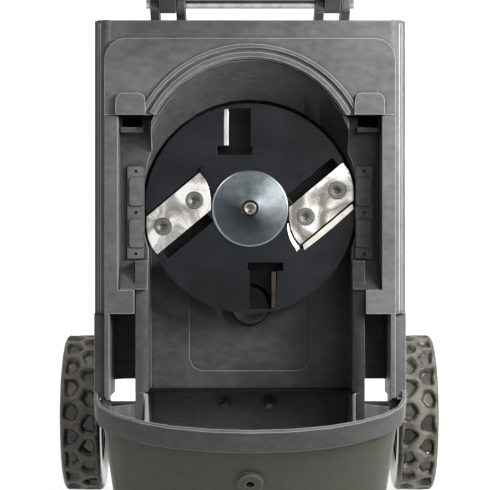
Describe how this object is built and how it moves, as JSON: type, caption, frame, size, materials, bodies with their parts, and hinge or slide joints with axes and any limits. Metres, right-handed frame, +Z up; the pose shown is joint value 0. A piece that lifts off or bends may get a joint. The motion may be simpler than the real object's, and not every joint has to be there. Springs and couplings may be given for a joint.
{
  "type": "electric garden shredder",
  "caption": "Wheeled electric knife shredder, hopper swung open over a tilted cutting disc with knives, chip trough, discharge shaft, motor, lock knob and axle.",
  "frame": {"origin": "on the ground under the middle of the bounding box, hopper open", "axes": "+Z up, -Y towards the machine's front where the chips leave, +X to the right seen from the front"},
  "size_m": [0.4176, 0.5518, 1.0358],
  "materials": {
    "black_plastic": "fine moulded grain",
    "grey_plastic": "fine moulded grain",
    "disc_paint": "semi-gloss",
    "knife_steel": "ground and scratched",
    "hub_steel": "turned",
    "screw_steel": "blackened",
    "bright_steel": "zinc plated",
    "tyre_plastic": "matt",
    "rubber": "matt",
    "copper": "enamelled windings",
    "cast_metal": "die cast",
    "green_plastic": "gloss",
    "red_plastic": "gloss"
  },
  "bodies": {
    "base": {"upper_body": "black_plastic", "lower_body": "grey_plastic", "cutting_chamber": "black_plastic", "top_panel": "grey_plastic", "discharge_shaft": "black_plastic", "shaft_screw_1": "screw_steel", "shaft_screw_2": "screw_steel", "wear_plate_left": "grey_plastic", "wear_plate_right": "grey_plastic", "foot_left": "rubber", "foot_right": "rubber", "axle": "bright_steel", "axle_spacer_left": "black_plastic", "axle_spacer_right": "black_plastic", "hinge_pin": "bright_steel", "motor_cover": "black_plastic", "motor_flange": "cast_metal", "motor_stator": "copper", "motor_end_bell": "cast_metal", "front_bearing": "bright_steel", "rear_bearing": "bright_steel", "switch_box": "black_plastic", "power_inlet": "grey_plastic", "transport_handle": "black_plastic", "safety_switch": "black_plastic"},
    "rotor": {"blade_disc": "disc_paint", "knife_1": "knife_steel", "knife_2": "knife_steel", "knife_screw_1a": "screw_steel", "knife_screw_1b": "screw_steel", "knife_screw_2a": "screw_steel", "knife_screw_2b": "screw_steel", "throwing_vane_1": "knife_steel", "throwing_vane_2": "knife_steel", "hub_cap": "hub_steel", "hub_screw": "bright_steel", "motor_shaft_and_armature": "bright_steel", "cooling_fan": "grey_plastic"},
    "wheel_left": {"tyre_left": "tyre_plastic", "wheel_rim_left": "grey_plastic", "wheel_cap_left": "grey_plastic"},
    "wheel_right": {"tyre_right": "tyre_plastic", "wheel_rim_right": "grey_plastic", "wheel_cap_right": "grey_plastic"},
    "hopper": {"hopper": "black_plastic"},
    "lock_bolt": {"lock_bolt": "bright_steel"},
    "lock_knob": {"lock_knob": "black_plastic"},
    "on_button": {"on_button": "green_plastic"},
    "off_button": {"off_button": "red_plastic"},
    "reset_button": {"reset_button": "black_plastic"}
  },
  "joints": [
    {"name": "rotor_spin", "type": "hinge", "parent": "base", "child": "rotor", "pos_m": [0, -0.0918, 0.477], "axis": [0, -0.766, 0.6428], "continuous": true},
    {"name": "wheel_left_spin", "type": "hinge", "parent": "base", "child": "wheel_left", "pos_m": [-0.1845, 0.0252, 0.087], "axis": [1, 0, 0], "continuous": true},
    {"name": "wheel_right_spin", "type": "hinge", "parent": "base", "child": "wheel_right", "pos_m": [0.1845, 0.0252, 0.087], "axis": [1, 0, 0], "continuous": true},
    {"name": "hopper_tilt", "type": "hinge", "parent": "base", "child": "hopper", "pos_m": [0, 0.003, 0.64287], "axis": [1, 0, 0], "range_deg": [0, 105]},
    {"name": "lock_travel", "type": "slide", "parent": "hopper", "child": "lock_bolt", "axis": [0, -0.2588, -0.9659], "range_m": [0, 0.01]},
    {"name": "lock_turn", "type": "hinge", "parent": "lock_bolt", "child": "lock_knob", "pos_m": [0, -0.25686, 1.01564], "axis": [0, -0.2588, -0.9659], "range_deg": [0, 1441]},
    {"name": "on_button_push", "type": "slide", "parent": "base", "child": "on_button", "axis": [0, -0.6428, -0.766], "range_m": [0, 0.003], "stiffness_N_per_m": 400},
    {"name": "off_button_push", "type": "slide", "parent": "base", "child": "off_button", "axis": [0, -0.6428, -0.766], "range_m": [0, 0.003], "stiffness_N_per_m": 400},
    {"name": "reset_button_push", "type": "slide", "parent": "base", "child": "reset_button", "axis": [0, -0.6428, -0.766], "range_m": [0, 0.003], "stiffness_N_per_m": 400}
  ],
  "couplings": [
    {"joint": "lock_turn", "follows": "lock_travel", "rad_per_m": 2513.3}
  ]
}
